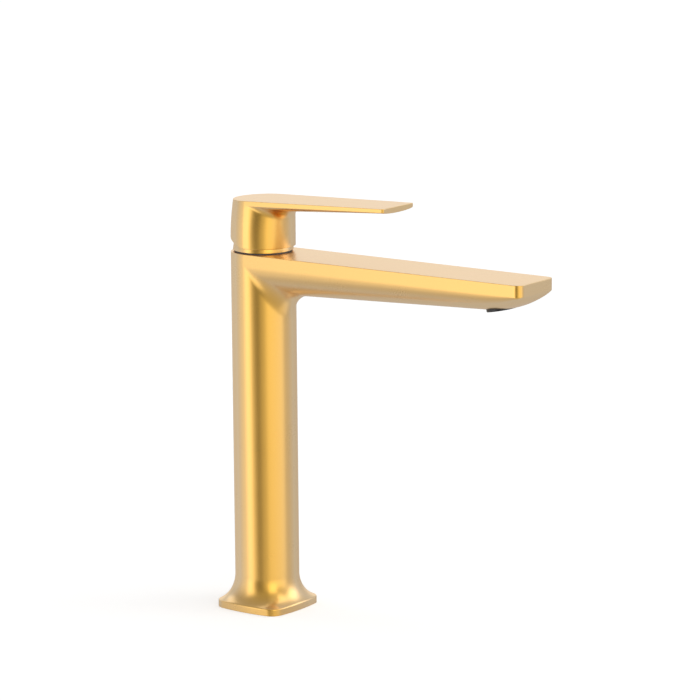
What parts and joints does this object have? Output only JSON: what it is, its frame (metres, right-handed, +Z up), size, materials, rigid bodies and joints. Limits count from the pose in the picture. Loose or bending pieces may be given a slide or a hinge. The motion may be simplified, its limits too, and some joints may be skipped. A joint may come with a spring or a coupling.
{
  "type": "basin mixer tap",
  "caption": "Tall single-lever basin mixer in brushed gold: round column on a flared square base, long flat spout and flat paddle lever over a ceramic disc cartridge.",
  "frame": {"origin": "centre of the base's underside, where it stands on the deck", "axes": "+Z up the column, +X forwards along the spout, +Y towards the hot side's inlet"},
  "size_m": [0.2602, 0.0584, 0.2995],
  "materials": {
    "brushed_gold": "satin",
    "cast_brass": "matte",
    "steel": "satin",
    "ceramic": "satin",
    "white_plastic": "matte",
    "grey_plastic": "matte",
    "blue_plastic": "matte",
    "black_plastic": "satin",
    "black_rubber": "matte"
  },
  "bodies": {
    "faucet_body": {"body": "brushed_gold", "mounting_plate": "cast_brass", "base_seal": "black_rubber", "valve_block": "cast_brass", "block_seal": "black_rubber", "cartridge_base": "white_plastic", "inlet_seal_hot": "black_rubber", "inlet_seal_cold": "black_rubber", "fixed_disc": "ceramic", "cartridge_housing": "white_plastic", "housing_seal": "black_rubber", "retaining_nut": "cast_brass", "dome_cover": "brushed_gold", "dome_seal": "black_rubber", "outlet_tube": "cast_brass", "tube_seal_root": "black_rubber", "tube_seal_tip": "black_rubber", "outlet_socket": "cast_brass", "aerator_housing": "black_plastic", "aerator_insert": "black_plastic", "aerator_screen": "steel", "aerator_gasket": "black_rubber"},
    "spindle": {"rotor": "grey_plastic", "pivot_pin": "steel"},
    "lever": {"handle": "brushed_gold", "stem": "steel", "handle_screw": "steel", "index_plug": "grey_plastic"},
    "disc": {"disc_carrier": "blue_plastic", "moving_disc": "ceramic"}
  },
  "joints": [
    {"name": "handle_turn", "type": "hinge", "parent": "faucet_body", "child": "spindle", "pos_m": [0, 0, 0.258], "axis": [0, 0, 1], "range_deg": [-45, 45]},
    {"name": "handle_lift", "type": "hinge", "parent": "spindle", "child": "lever", "pos_m": [0, 0, 0.258], "axis": [0, -1, 0], "range_deg": [0, 18]},
    {"name": "disc_slide", "type": "slide", "parent": "spindle", "child": "disc", "axis": [1, 0, 0], "range_m": [0, 0.0043]}
  ],
  "couplings": [
    {"joint": "disc_slide", "follows": "handle_lift", "m_per_rad": 0.0135}
  ]
}
